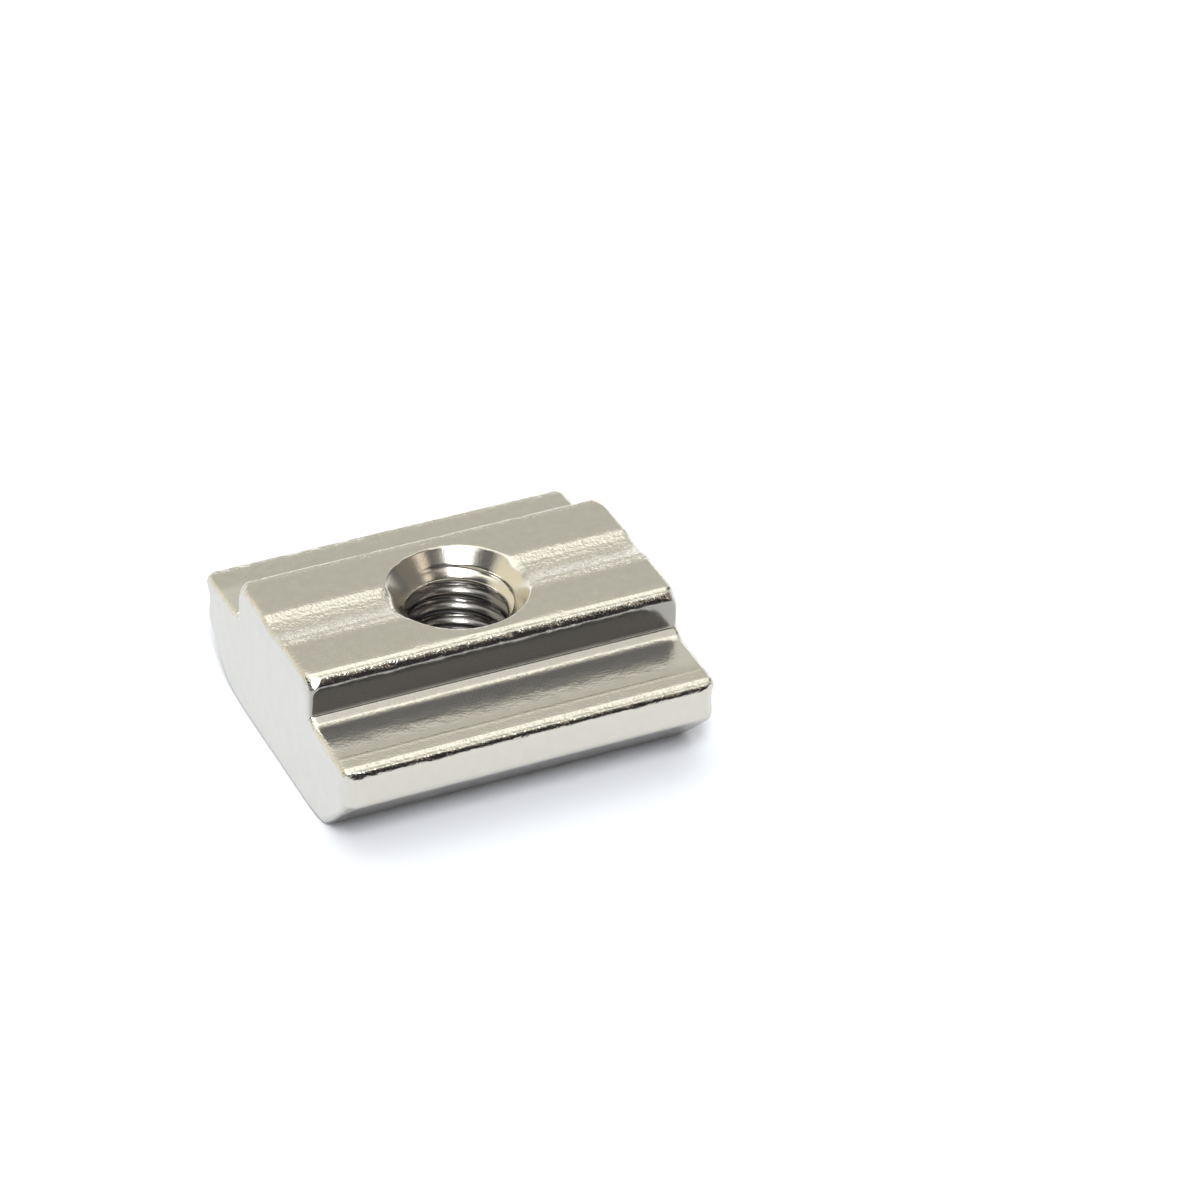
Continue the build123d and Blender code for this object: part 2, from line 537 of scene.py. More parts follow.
@dataclass
class SlotNut:
    """The whole nut as one closed mesh.

    The end radii are those of the rounding round both cut ends: in general, at the neck's
    and the flange's corners, on the neck's and the body's side walls, and at the foot of
    the bevel. Wall_share is how far sideways a surface looks before it counts as a wall.
    """

    length: float
    section: Section
    hole: TappedHole
    wear: Wear
    end_radius: float = 0.27
    corner_end_radius: float = 0.65
    flange_end_radius: float = 0.35
    upright_end_radius: float = 0.12
    side_end_radius: float = 0.8
    foot_end_radius: float = 0.5
    inset_reach: float = 0.8
    radius_reach: float = 0.22
    end_steps: int = 6
    window_columns: int = 68
    outer_columns: int = 37
    cap_rings: int = 6
    square_rings: int = 4
    rim_rings: int = 14
    wall_rings: int = 80
    rim_gap: float = 0.012
    end_wear: float = 1.5
    wall_matt: float = 0.15
    # how far round the end the cut end's finish starts, on walls and on what faces up
    end_start: tuple[float, float] = (0.3, 0.85)
    wall_share: float = 0.9
    dint_bend: float = 0.03
    # the point that a cut end's rings draw in to, as a share of the height
    cap_height: float = 0.36
    dints: tuple[Dint, ...] = (
        Dint((-0.34, -0.62, 0.71), 0.048, 5.0, 7.0),
        Dint((-0.2, -0.86, 0.47), 0.07, 3.0, 4.8),
    )

    def columns(self) -> np.ndarray:
        """Places along the bar between its rounded ends, with columns on the window's two edges."""
        end = self.length / 2.0 - self.end_radius
        edge = self.section.window
        left = np.linspace(-end, -edge, self.outer_columns + 1)
        middle = np.linspace(-edge, edge, self.window_columns + 1)
        return np.concatenate([left, middle[1:-1], -left[::-1]])

    def strip_weights(self, outline: np.ndarray, normal: np.ndarray) -> tuple[np.ndarray, ...]:
        """How much of an edge, bevel, groove or matt inner corner each point is, from 0 to 1.

        Args:
            outline: the section's points.
            normal: their unit normals.

        Returns:
            The four weights, each with one value for each point.
        """
        s = self.section
        out, up = np.abs(outline[:, 0]), outline[:, 1]
        neck = np.hypot(out - s.neck_half + 0.16, up - s.height + 0.16)
        flange = np.hypot(out - s.half + 0.16, up - s.flange_height + 0.16)
        edge = np.maximum(bump(0.0, 0.36, neck), bump(0.0, 0.32, flange))
        peel = smooth_step(0.35, 0.68, -normal[:, 1])
        peel = peel * smooth_step(0.35, 0.68, np.abs(normal[:, 0]))
        shallow = smooth_step(1.5, 1.1, out) * (up > s.flange_height)
        inside = (out > s.neck_half - 0.08) & (up > s.flange_height - 0.2)
        matt = inside * smooth_step(6.75, 6.1, out)
        matt = matt * smooth_step(s.height - 0.3, s.height - 0.55, up)
        level = np.maximum(normal[:, 1], 0.0) ** 2
        matt = matt * (self.wall_matt + (1.0 - self.wall_matt) * level)
        return edge, peel, shallow, matt

    def end_radii(self, outline: np.ndarray, inwards: np.ndarray, edge: np.ndarray) -> np.ndarray:
        """Radius of the rounding at the cut ends, for each point of the section.

        Args:
            outline: the section's points.
            inwards: the way that each moves in over the rounding.
            edge: how much of an upper edge each point is.

        Returns:
            The radii, averaged a little along the outline so that none of them jumps.
        """
        s = self.section
        leg = s.bevel_leg
        upright = inwards[:, 0] ** 2 * smooth_step(leg - 1.0, leg + 0.4, outline[:, 1])
        side = smooth_step(s.neck_half + 1.0, s.half - 0.6, np.abs(outline[:, 0]))
        walls = self.upright_end_radius + (self.side_end_radius - self.upright_end_radius) * side
        radius = self.end_radius + (walls - self.end_radius) * smooth_step(0.1, 0.9, upright)
        on_neck = outline[:, 1] > s.flange_height + 0.5
        corner = np.where(on_neck, self.corner_end_radius, self.flange_end_radius)
        to_foot = np.hypot(np.abs(outline[:, 0]) - s.half + leg, outline[:, 1])
        for larger, share in ((corner, edge), (self.foot_end_radius, bump(0.0, 1.0, to_foot))):
            radius = np.maximum(radius, self.end_radius + (larger - self.end_radius) * share)
        return spread(outline, radius[:, None], self.radius_reach)[:, 0]

    def skin(self) -> tuple[np.ndarray, dict[str, np.ndarray]]:
        """The section carried along the bar, with both ends rounded over.

        Between the ends a point is the outline's own. Over each end it goes through a
        quarter circle: inwards by r(1 - cos t) along the outline's normal, and onwards
        by r sin t along the bar, where r is larger at the section's sharp corners.

        Returns:
            Places on a grid of outline points by columns, and the weights of each point.
        """
        outline = self.section.outline()
        normal = outward(outline)
        inwards = -spread_normals(outline, normal, self.inset_reach)
        edge, peel, groove, matt = self.strip_weights(outline, normal)
        x = self.columns()
        radius = self.end_radii(outline, inwards, edge)
        t = np.linspace(0.0, math.pi / 2.0, self.end_steps + 1)[1:]
        along = radius[:, None] * np.sin(t)
        inset = radius[:, None] * (1.0 - np.cos(t))
        full = self.length / 2.0 - radius
        window = self.section.window
        reach = (full - window) / (self.length / 2.0 - self.end_radius - window)
        beyond = np.maximum(np.abs(x) - window, 0.0)
        main = np.sign(x) * (np.minimum(np.abs(x), window) + beyond * reach[:, None])
        right = full[:, None] + along
        place_x = np.hstack([-right[:, ::-1], main, right])
        inset = np.hstack([inset[:, ::-1], np.zeros_like(main), inset])
        tilt = np.concatenate([-t[::-1], np.zeros(len(x)), t])
        flat = outline[:, None, :] + inwards[:, None, :] * inset[..., None]
        grid = np.dstack([place_x, flat])
        direction = np.dstack([
            np.broadcast_to(np.sin(tilt), place_x.shape),
            normal[:, 0:1] * np.cos(tilt),
            normal[:, 1:2] * np.cos(tilt),
        ])
        turned = np.abs(np.sin(tilt))
        foot = self.section.flange_height
        wall = (normal[:, 0] ** 2 > self.wall_share) * smooth_step(foot, foot + 0.1, outline[:, 1])
        soon, late = self.end_start
        start = soon + (late - soon) * smooth_step(0.5, 0.9, normal[:, 1:2])
        edge = np.maximum(edge[:, None], self.end_wear * turned)
        peel, groove, matt, wall = (
            np.broadcast_to(strip[:, None], place_x.shape) for strip in (peel, groove, matt, wall)
        )
        weights = {
            "edge": edge,
            "peel": peel,
            "groove": groove,
            "matt": matt,
            "wall": wall,
            "end": smooth_step(0.0, 1.0, (turned - start) / (1.0 - start)),
            "ding": edge * smooth_step(0.5, 0.8, normal[:, 1:2]),
        }
        drawn = self.wear.skin(grid, edge, peel, groove, matt)
        share = smooth_step(0.85, 1.0, turned)
        depth = drawn * (1.0 - share) + self.wear.cut_end(grid) * share
        grid = grid - direction * depth[..., None]
        return self.dinted(grid), weights

    def dinted(self, grid: np.ndarray) -> np.ndarray:
        """The grid with its knocked corners.

        Places are pushed back along a unit direction to a plane that lies a dint's depth
        inside the corner's furthest place, with a soft bend where the flat begins.
        """
        for dint in self.dints:
            way = np.array(dint.way)
            way /= np.linalg.norm(way)
            corner = (grid[..., 0] < -self.section.neck_half) & (grid[..., 1] < 0.0)
            corner &= (grid[..., 2] > dint.low) & (grid[..., 2] < dint.high)
            reach = grid @ way
            excess = np.where(corner, reach - reach[corner].max() + dint.depth, -1.0)
            push = soft_max(excess, np.zeros_like(excess), self.dint_bend)
            push = push * smooth_step(-4.0 * self.dint_bend, -self.dint_bend, excess)
            grid = grid - push[..., None] * way
        return grid

    def cap(self, rim: np.ndarray, sign: float) -> np.ndarray:
        """A cut end: the rim drawn in towards one point in the middle of the section.

        A point is the middle plus a share t of the way out to the rim, with t falling
        from 1 as 1 - k^2, so that the first ring lies close inside the rounded edge. Its
        relief is taken inwards along the bar.
        """
        middle = np.array([rim[:, 0].mean(), 0.0, self.cap_height * self.section.height])
        t = 1.0 - np.linspace(0.0, 1.0, self.cap_rings + 1)[1:-1] ** 2
        rings = middle + (rim[:, None, :] - middle) * t[None, :, None]
        rings[..., 0] = sign * (self.length / 2.0 - self.wear.cut_end(rings))
        middle[0] = sign * (self.length / 2.0 - float(self.wear.cut_end(middle[None])[0]))
        return np.vstack([rings.transpose(1, 0, 2).reshape(-1, 3), middle[None]])

    def mouth_height(self, p: np.ndarray) -> np.ndarray:
        """Height of the neck round the hole: the lower of its top and the countersink's cone.

        Where the two meet, the soft minimum rounds the rim, far more so where the groove
        runs into the mouth, and the relief of the drawn skin fades out down the cone.
        """
        hole = self.hole
        aside = np.abs(p[..., 1])
        wider = hole.groove_rim_blend - hole.rim_blend
        blend = hole.rim_blend + wider * smooth_step(1.7, 0.5, aside)
        flat = self.section.top(p[..., 1])
        out = np.hypot(p[..., 0], p[..., 1])
        cone = hole.top + (out - hole.upper_mouth / 2.0) / hole.cone_slope
        at = np.stack([p[..., 0], p[..., 1], flat], axis=-1)
        at_rim = smooth_step(0.12, 0.0, np.abs(cone - flat))
        cone += hole.rim_nick * noise(at, (0.26, 0.26, 0.26), 11) * at_rim
        height = -soft_max(-flat, -cone, blend)
        on_flat = smooth_step(0.0, 0.1, cone - flat)
        groove = smooth_step(1.5, 1.1, aside)
        none = np.zeros_like(flat)
        return height - on_flat * self.wear.skin(at, none, none, groove, none)

    def underside_height(self, p: np.ndarray) -> np.ndarray:
        """Height of the underside round the hole: the higher of its plane and the lower cone."""
        cone = self.hole.lower_mouth / 2.0 - np.hypot(p[..., 0], p[..., 1])
        at = np.stack([p[..., 0], p[..., 1], np.zeros_like(cone)], axis=-1)
        none = np.zeros_like(cone)
        flat = self.wear.skin(at, none, none, none, none) * smooth_step(0.0, -0.1, cone)
        return soft_max(flat, cone, self.hole.lower_rim_blend)

    def ring_angles(self, square: np.ndarray, radius: np.ndarray) -> np.ndarray:
        """Polar angles, on circles, of the lines that run in from the window's square.

        A line that starts inside the groove keeps its distance y from the middle, so it
        meets a circle at asin(y / radius). Between the two such bundles the lines share
        out what is left of the half circle as their starts do on the square.

        Args:
            square: places round the window, counter-clockwise.
            radius: the circles' radii, in one row or in one for each place.

        Returns:
            One row for each place and one column for each circle.
        """
        start = np.arctan2(square[:, 1], square[:, 0])
        y, side = square[:, 1:2], np.sign(square[:, 0:1])
        limit = math.atan2(GROOVE_REACH, self.section.window)
        held = np.arcsin(np.clip(y, -GROOVE_REACH, GROOVE_REACH) / radius)
        held = np.where(side > 0, held, math.pi - held)
        edge = np.arcsin(GROOVE_REACH / radius)
        share = (np.abs(start[:, None]) - limit) / (math.pi - 2.0 * limit)
        shared = np.sign(start[:, None]) * (edge + share * (math.pi - 2.0 * edge))
        return np.where(np.abs(y) <= GROOVE_REACH + 1e-6, held, shared)

    def bore(self, square: np.ndarray) -> tuple[np.ndarray, np.ndarray]:
        """The hole, from the neck's window down the wall and out to the underside's window.

        Returns:
            Places on a grid of window points by rings, without the first and last ring,
            which belong to the skin, and for each ring how much of it is hole.
        """
        hole, window = self.hole, self.section.window
        rim = window - 0.1
        throat = hole.throat
        mouth = hole.upper_mouth / 2.0
        outer = np.linspace(rim, mouth + self.rim_gap, 5)
        inner = np.linspace(mouth - self.rim_gap, throat, self.rim_rings - 4)
        circles = np.concatenate([outer, inner])
        y = mouth * np.sin(self.ring_angles(square, np.array([mouth])))
        drop = (hole.top - self.section.top(y)) * hole.cone_slope
        circles = circles - drop * np.interp(circles, [throat, mouth, rim], [0.0, 1.0, 0.0])
        angle = self.ring_angles(square, circles)
        flat = np.stack([circles * np.cos(angle), circles * np.sin(angle)], axis=-1)
        t = np.linspace(0.0, 1.0, self.square_rings + 1)[1:-1]
        start = square[:, None, :2]
        flat = np.concatenate([start + (flat[:, :1] - start) * t[None, :, None], flat], axis=1)
        upper = np.dstack([flat, self.mouth_height(flat)])
        lower = np.dstack([flat, self.underside_height(flat)])[:, ::-1]
        top_z = hole.top - (mouth - throat) / hole.cone_slope
        low_z = hole.lower_mouth / 2.0 - throat
        z = np.linspace(top_z, low_z, self.wall_rings + 1)[None, 1:-1]
        theta = angle[:, -1:]
        radius = hole.wall(theta, z)
        z = np.broadcast_to(z, radius.shape)
        wall = np.dstack([radius * np.cos(theta), radius * np.sin(theta), z])
        grid = np.concatenate([upper, wall, lower], axis=1)
        holed = np.hypot(grid[..., 0], grid[..., 1]) < mouth - 0.02
        return grid, holed

    def mesh(
        self,
    ) -> tuple[np.ndarray, np.ndarray, np.ndarray, np.ndarray, dict[str, np.ndarray]]:
        """Puts skin, caps and bore together.

        Returns:
            Places, four-cornered faces, three-cornered faces, each face's skin (quads
            first), and the weights of each place.
        """
        grid, weights = self.skin()
        n, m = grid.shape[:2]
        index = np.arange(n * m).reshape(n, m)
        across = len(self.section.window_steps()) - 1
        side = (n - 2 * (across + 1)) // 2
        bottom = across + 1 + side
        left = self.end_steps + self.outer_columns
        right = left + self.window_columns
        k = np.arange(n)
        j = np.arange(m - 1)
        quads = np.stack([
            index[k][:, j], index[(k + 1) % n][:, j],
            index[(k + 1) % n][:, j + 1], index[k][:, j + 1],
        ], axis=-1)
        in_window = (j >= left) & (j < right)
        on_window = (k < across) | ((k >= bottom) & (k < bottom + across))
        keep = ~(on_window[:, None] & in_window[None, :])
        at_end = (j < 1) | (j >= m - 2)
        skins = np.where(np.broadcast_to(at_end, keep.shape), Skin.CUT_END, Skin.DRAWN)
        quads, skins = quads[keep], skins[keep]

        # the window's square, counter-clockwise from above, on the neck and on the underside
        top_square = np.concatenate([
            index[across:0:-1, right], index[0, right:left:-1],
            index[0:across, left], index[across, left:right],
        ])
        low_square = np.concatenate([
            index[bottom:bottom + across, right], index[bottom + across, right:left:-1],
            index[bottom + across:bottom:-1, left], index[bottom, left:right],
        ])
        places = grid.reshape(-1, 3)
        bore, holed = self.bore(places[top_square])
        rings = bore.shape[1]
        count = len(top_square)
        inner = len(places) + np.arange(count * rings).reshape(count, rings)
        net = np.hstack([top_square[:, None], inner, low_square[:, None]])
        turned = np.roll(net, -1, axis=0)
        bore_quads = np.stack([net[:, :-1], turned[:, :-1], turned[:, 1:], net[:, 1:]], axis=-1)
        holed = np.hstack([np.zeros((count, 1), bool), holed, np.zeros((count, 1), bool)])
        bore_skins = np.where(holed[:, :-1] & holed[:, 1:], Skin.HOLE, Skin.DRAWN)
        places = np.vstack([places, bore.reshape(-1, 3)])

        triangles = []
        for column, sign in ((m - 1, 1.0), (0, -1.0)):
            cap = self.cap(grid[:, column], sign)
            ring = np.arange(n * (self.cap_rings - 1)).reshape(self.cap_rings - 1, n)
            ring = np.vstack([index[:, column], len(places) + ring])
            ring = ring if sign > 0 else ring[:, ::-1]
            step = np.roll(ring, -1, axis=1)
            cap_quads = np.stack([ring[:-1], step[:-1], step[1:], ring[1:]], axis=-1)
            pole = len(places) + len(cap) - 1
            fan = np.stack([ring[-1], step[-1], np.full(n, pole)], axis=-1)
            quads = np.vstack([quads, cap_quads.reshape(-1, 4)])
            skins = np.concatenate([skins, np.full(cap_quads[..., 0].size, Skin.CUT_END)])
            triangles.append(fan)
            places = np.vstack([places, cap])

        quads = np.vstack([quads, bore_quads.reshape(-1, 4)])
        skins = np.concatenate([skins, bore_skins.ravel()])
        triangles = np.vstack(triangles)
        skins = np.concatenate([skins, np.full(len(triangles), Skin.CUT_END)])
        beyond = np.zeros(len(places) - n * m)
        stored = {
            name: np.concatenate([np.minimum(value, 1.0).ravel(), beyond])
            for name, value in weights.items()
        }
        groove = smooth_step(1.5, 1.1, np.abs(bore[..., 1]))
        groove *= (bore[..., 2] > self.section.flange_height) & ~holed[:, 1:-1]
        stored["groove"][n * m:n * m + groove.size] = groove.ravel()
        return places, quads, triangles, skins, stored

    def build(self, materials: list[bpy.types.Material]) -> bpy.types.Object:
        """Writes the mesh in metres, with its materials and its point weights."""
        places, quads, triangles, skins, weights = self.mesh()
        used = np.unique(np.concatenate([quads.ravel(), triangles.ravel()]))
        renumber = np.zeros(len(places), np.int64)
        renumber[used] = np.arange(len(used))
        mesh = bpy.data.meshes.new("slot_nut")
        corners = np.concatenate([renumber[quads].ravel(), renumber[triangles].ravel()])
        sizes = np.concatenate([np.full(len(quads), 4), np.full(len(triangles), 3)])
        mesh.vertices.add(len(used))
        mesh.vertices.foreach_set("co", (places[used] * MM).astype(np.float32).ravel())
        mesh.loops.add(len(corners))
        mesh.loops.foreach_set("vertex_index", corners.astype(np.int32))
        mesh.polygons.add(len(sizes))
        starts = np.concatenate([[0], np.cumsum(sizes)[:-1]])
        mesh.polygons.foreach_set("loop_start", starts.astype(np.int32))
        mesh.polygons.foreach_set("material_index", skins.astype(np.int32))
        mesh.update(calc_edges=True)
        mesh.validate()
        mesh.shade_smooth()
        for name, value in weights.items():
            layer = mesh.attributes.new(name, "FLOAT", "POINT")
            layer.data.foreach_set("value", value[used].astype(np.float32))
        for material in materials:
            mesh.materials.append(material)
        nut = bpy.data.objects.new("slot_nut", mesh)
        bpy.context.scene.collection.objects.link(nut)
        LOG.info("slot_nut: %d points, %d faces", len(used), len(sizes))
        return nut


# ---------------------------------------------------------------- finishes


def linear(hex_colour: str, strength: float = 1.0) -> tuple[float, float, float, float]:
    """An sRGB colour such as "#d2cbb9" in linear light, times a strength, with an alpha of 1."""
    channels = [int(hex_colour[i:i + 2], 16) / 255.0 for i in (1, 3, 5)]
    curve = [c / 12.92 if c <= 0.04045 else ((c + 0.055) / 1.055) ** 2.4 for c in channels]
    return (*(c * strength for c in curve), 1.0)


def sine(degrees: float) -> float:
    """Sine of an angle in degrees."""
    return math.sin(math.radians(degrees))


def clear_tree(owner: bpy.types.Material | bpy.types.World) -> bpy.types.NodeTree:
    """The node tree of a new material or world, with nothing in it."""
    owner.use_nodes = True
    owner.node_tree.nodes.clear()
    return owner.node_tree


def add_node(
    tree: bpy.types.NodeTree,
    kind: str,
    settings: dict | None = None,
    links: dict | None = None,
) -> bpy.types.Node:
    """Adds one node.

    Args:
        tree: the node tree.
        kind: the node's type, less its leading "ShaderNode".
        settings: values by socket name or number, or by property name.
        links: output sockets by the name or number of the input that they feed.

    Returns:
        The node.
    """
    node = tree.nodes.new("ShaderNode" + kind)
    for key, value in (settings or {}).items():
        if isinstance(key, int) or key in node.inputs:
            node.inputs[key].default_value = value
        else:
            setattr(node, key, value)
    for key, output in (links or {}).items():
        tree.links.new(output, node.inputs[key])
    return node


@dataclass(frozen=True)
class NickelPlate:
    """Watts nickel over drawn carbon steel, barrel-tumbled: satin flats, brighter edges.

    The drawn flats keep the die's fine matt grain, so they blur what they mirror. The
    tumbled edges are burnished but dinged, so they glitter. The bevels, which no die
    face ironed flat, keep a coarse skin. In the corner beside the neck, where tumbling
    hardly reaches, a thin matt film takes the shine off. The neck's walls and the bevels
    also get a darker colour, which is painted shade for the dark room and the shaded
    floor that they mirror. The real grain is finer, and is drawn as coarse as it needs
    to be to show.
    """

    light: str = "#d3d0c6"
    dark: str = "#c9c5ba"
    # painted shade for the dark room and shaded floor that the neck's walls and bevels mirror
    painted_shade_colour: str = "#918e87"
    wall_painted_shade: float = 0.8
    end_colour: str = "#d0cfca"
    roughness: float = 0.15
    edge_roughness: float = 0.14
    matt_roughness: float = 0.17
    end_roughness: float = 0.42
    matt_share: float = 0.2
    matt_calm: float = 6.0
    film_roughness: float = 0.6
    film_ior: float = 2.0
    mottle_mm: float = 0.5
    grain_mm: float = 0.09
    grain_depth_mm: float = 0.012
    ding_mm: float = 0.14
    ding_depth_mm: float = 0.04
    peel_mm: float = 0.22
    peel_depth_mm: float = 0.02

    def material(self) -> bpy.types.Material:
        """Builds the plate as a material that reads the weights stored on the mesh."""
        material = bpy.data.materials.new("nickel_plate_on_drawn_steel")
        tree = clear_tree(material)
        place = add_node(tree, "TexCoord").outputs["Object"]
        weight = {
            name: add_node(tree, "Attribute", {"attribute_name": name}).outputs["Fac"]
            for name in ("edge", "peel", "groove", "matt", "wall", "end", "ding")
        }
        mottle, grain, ding, lump = (
            add_node(tree, "TexNoise", {"Scale": 1.0 / (size * MM), "Detail": detail},
                     {"Vector": place}).outputs["Fac"]
            for size, detail in (
                (self.mottle_mm, 4.0), (self.grain_mm, 2.0),
                (self.ding_mm, 3.0), (self.peel_mm, 3.0),
            )
        )

        # colour: mottled, with painted shade on the neck's walls and bevels, paler over the ends
        tint = add_node(tree, "Mix", {
            "data_type": "RGBA", 6: linear(self.light), 7: linear(self.dark),
        }, {0: mottle}).outputs[2]
        # painted shade: the neck's walls and the bevels are mixed towards the darker colour
        wall = add_node(tree, "Math", {"operation": "MULTIPLY", 1: self.wall_painted_shade},
                        {0: weight["wall"]}).outputs[0]
        painted_shade = add_node(tree, "Math", {"operation": "MAXIMUM"},
                        {0: wall, 1: weight["peel"]}).outputs[0]
        for share, colour in ((painted_shade, self.painted_shade_colour), (weight["end"], self.end_colour)):
            tint = add_node(tree, "Mix", {"data_type": "RGBA", 7: linear(colour)},
                            {0: share, 6: tint}).outputs[2]

        # gloss: tumbled edges, then the film beside the neck, then the ends
        rough = add_node(tree, "MapRange", {
            "To Min": self.roughness, "To Max": self.edge_roughness,
        }, {"Value": weight["edge"]}).outputs[0]
        for share, value in (
            (weight["matt"], self.matt_roughness), (weight["end"], self.end_roughness),
        ):
            rough = add_node(tree, "Mix", {"data_type": "FLOAT", 3: value},
                             {0: share, 2: rough}).outputs[0]

        # relief: grain except under the film, dings on edges and groove, lumps on bevels
        marked = add_node(tree, "Math", {"operation": "MAXIMUM"},
                          {0: weight["ding"], 1: weight["groove"]}).outputs[0]
        dinged = add_node(tree, "Math", {"operation": "MULTIPLY_ADD", 1: self.matt_share},
                          {0: weight["matt"], 2: marked}).outputs[0]
        calm = add_node(tree, "Math", {
            "operation": "MULTIPLY_ADD", 1: -self.matt_calm, 2: 1.0, "use_clamp": True,
        }, {0: weight["matt"]}).outputs[0]
        relief = {}
        for depth, height, strength in (
            (self.grain_depth_mm, grain, calm),
            (self.ding_depth_mm, ding, dinged),
            (self.peel_depth_mm, lump, weight["peel"]),
        ):
            node = add_node(tree, "Bump", {"Distance": depth * MM},
                            {"Height": height, "Strength": strength, **relief})
            relief = {"Normal": node.outputs[0]}
        shader = add_node(tree, "BsdfPrincipled", {
            "Metallic": 1.0, "Coat Roughness": self.film_roughness, "Coat IOR": self.film_ior,
        }, {
            "Base Color": tint, "Roughness": rough, "Coat Weight": weight["matt"], **relief,
        })
        add_node(tree, "OutputMaterial", None, {"Surface": shader.outputs[0]})
        return material


@dataclass(frozen=True)
class CutEndPlate:
    """Dull nickel over a sheared end: paler and flatter than the drawn faces, with fine pits."""

    light: str = "#d4d3ce"
    dark: str = "#cccbc6"
    roughness: float = 0.42
    mottle_mm: float = 0.7
    grain_mm: float = 0.14
    grain_depth_mm: float = 0.006

    def material(self) -> bpy.types.Material:
        """Builds the end's plate."""
        material = bpy.data.materials.new("dull_nickel_on_cut_end")
        tree = clear_tree(material)
        place = add_node(tree, "TexCoord").outputs["Object"]
        mottle, grain = (
            add_node(tree, "TexNoise", {"Scale": 1.0 / (size * MM), "Detail": detail},
                     {"Vector": place}).outputs["Fac"]
            for size, detail in ((self.mottle_mm, 4.0), (self.grain_mm, 3.0))
        )
        tint = add_node(tree, "Mix", {
            "data_type": "RGBA", 6: linear(self.light), 7: linear(self.dark),
        }, {0: mottle}).outputs[2]
        fine = add_node(tree, "Bump", {"Distance": self.grain_depth_mm * MM}, {"Height": grain})
        shader = add_node(tree, "BsdfPrincipled", {"Metallic": 1.0, "Roughness": self.roughness},
                          {"Base Color": tint, "Normal": fine.outputs[0]})
        add_node(tree, "OutputMaterial", None, {"Surface": shader.outputs[0]})
        return material


@dataclass(frozen=True)
class HoleWall:
    """The countersinks, turned bright and plated, and the tapped thread below, with little plating.

    Plating barely reaches down the hole, so the colour goes from nickel to dark steel within a
    turn or two of each mouth; that dark steel is also painted shade for the shade down the hole.
    """

    top: float
    plated: str = "#d6d2c8"
    bare_and_shaded: str = "#7f7d7b"
    roughness: float = 0.21
    bare_roughness: float = 0.23
    plated_depth: float = 1.2
    bare_and_shaded_depth: float = 1.42
    grain_mm: float = 0.1
    grain_depth_mm: float = 0.003

    def material(self) -> bpy.types.Material:
        """Builds the wall: plating thins, and painted shade deepens, with depth below either mouth.
        """
        material = bpy.data.materials.new("turned_and_tapped_steel")
        tree = clear_tree(material)
        place = add_node(tree, "TexCoord").outputs["Object"]
        height = add_node(tree, "SeparateXYZ", None, {0: place}).outputs["Z"]
        middle = self.top / 2.0
        off = add_node(tree, "Math", {"operation": "SUBTRACT", 1: middle * MM},
                       {0: height}).outputs[0]
        off = add_node(tree, "Math", {"operation": "ABSOLUTE"}, {0: off}).outputs[0]
        # painted shade, in part: the share of dark steel grows with depth below either mouth
        bare_and_shaded = add_node(tree, "MapRange", {
            "interpolation_type": "SMOOTHSTEP",
            "From Min": (middle - self.plated_depth) * MM,
            "From Max": (middle - self.bare_and_shaded_depth) * MM,
        }, {"Value": off}).outputs[0]
        tint = add_node(tree, "Mix", {
            "data_type": "RGBA", 6: linear(self.plated), 7: linear(self.bare_and_shaded),
        }, {0: bare_and_shaded}).outputs[2]
        rough = add_node(tree, "MapRange", {
            "To Min": self.roughness, "To Max": self.bare_roughness,
        }, {"Value": bare_and_shaded}).outputs[0]
        grain = add_node(tree, "TexNoise", {"Scale": 1.0 / (self.grain_mm * MM), "Detail": 2.0},
                         {"Vector": place}).outputs["Fac"]
        fine = add_node(tree, "Bump", {"Distance": self.grain_depth_mm * MM}, {"Height": grain})
        shader = add_node(tree, "BsdfPrincipled", {"Metallic": 1.0},
                          {"Base Color": tint, "Roughness": rough, "Normal": fine.outputs[0]})
        add_node(tree, "OutputMaterial", None, {"Surface": shader.outputs[0]})
        return material


# ---------------------------------------------------------------- the studio


@dataclass(frozen=True)
class Panel:
    """A soft-edged patch of the studio, as compass bearing from +X and height above the floor."""

    bearing: float
    half_width: float
    low: float
    high: float
    fade: float
    colour: str
    strength: float


